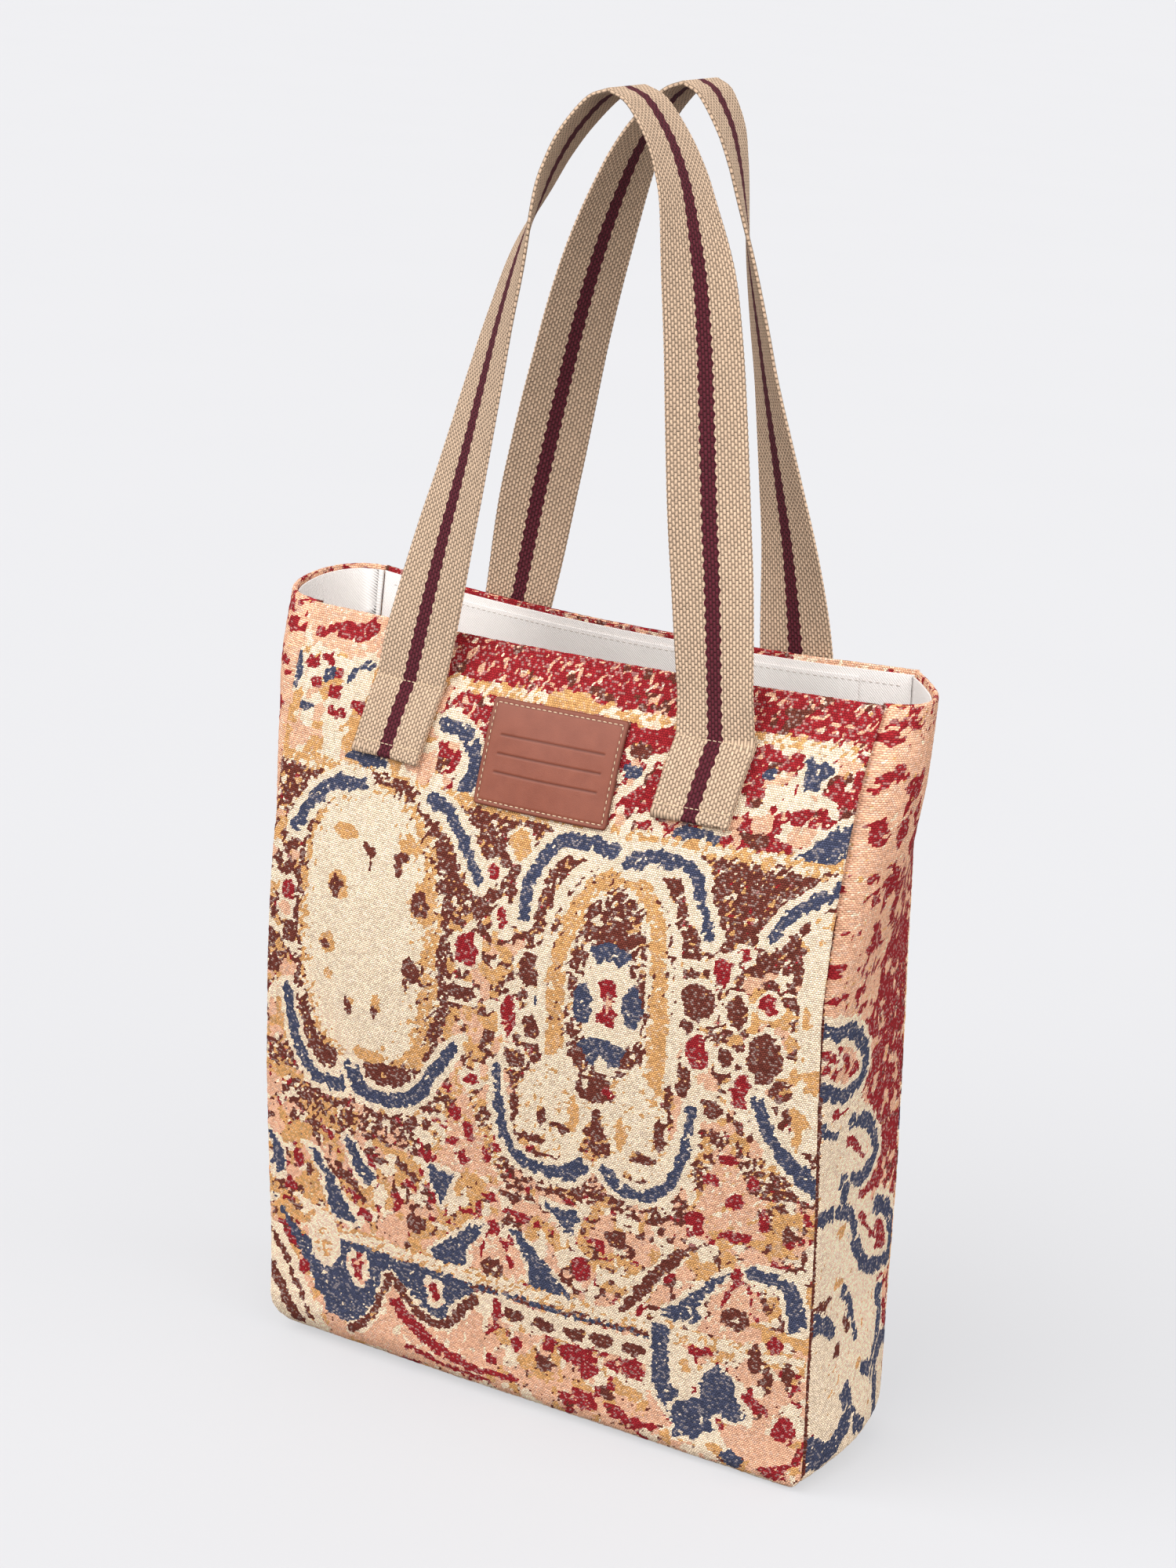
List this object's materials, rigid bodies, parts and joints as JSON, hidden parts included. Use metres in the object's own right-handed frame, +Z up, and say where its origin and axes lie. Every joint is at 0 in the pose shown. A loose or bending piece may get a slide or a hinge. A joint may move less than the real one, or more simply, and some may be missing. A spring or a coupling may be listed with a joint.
{
  "type": "carpet cloth tote bag",
  "caption": "Tall open-topped tote bag of thick carpet cloth with a cotton lining, a pair of long twisted webbing handles and a leather patch; stands on its base.",
  "frame": {"origin": "middle of the base, on the surface that the bag stands on", "axes": "+Z up towards the handles, -Y towards the front panel with the patch, +X to the bag's right side as seen from the front"},
  "size_m": [0.342, 0.1435, 0.6339],
  "materials": {
    "carpet_cloth": "thick coarse woven cloth in cream, ochre, salmon, crimson, brown and slate blue",
    "lining_twill": "off-white cotton twill",
    "webbing": "tan ribbed cotton webbing with a dark red stripe along the middle",
    "patch_leather": "smooth brown vegetable-tanned leather"
  },
  "bodies": {
    "root": {"front_panel": "carpet_cloth", "back_panel": "carpet_cloth", "gusset": "carpet_cloth", "front_lining": "lining_twill", "back_lining": "lining_twill", "gusset_lining": "lining_twill", "inner_pocket": "lining_twill", "front_handle": "webbing", "back_handle": "webbing", "leather_patch": "patch_leather"}
  },
  "joints": []
}
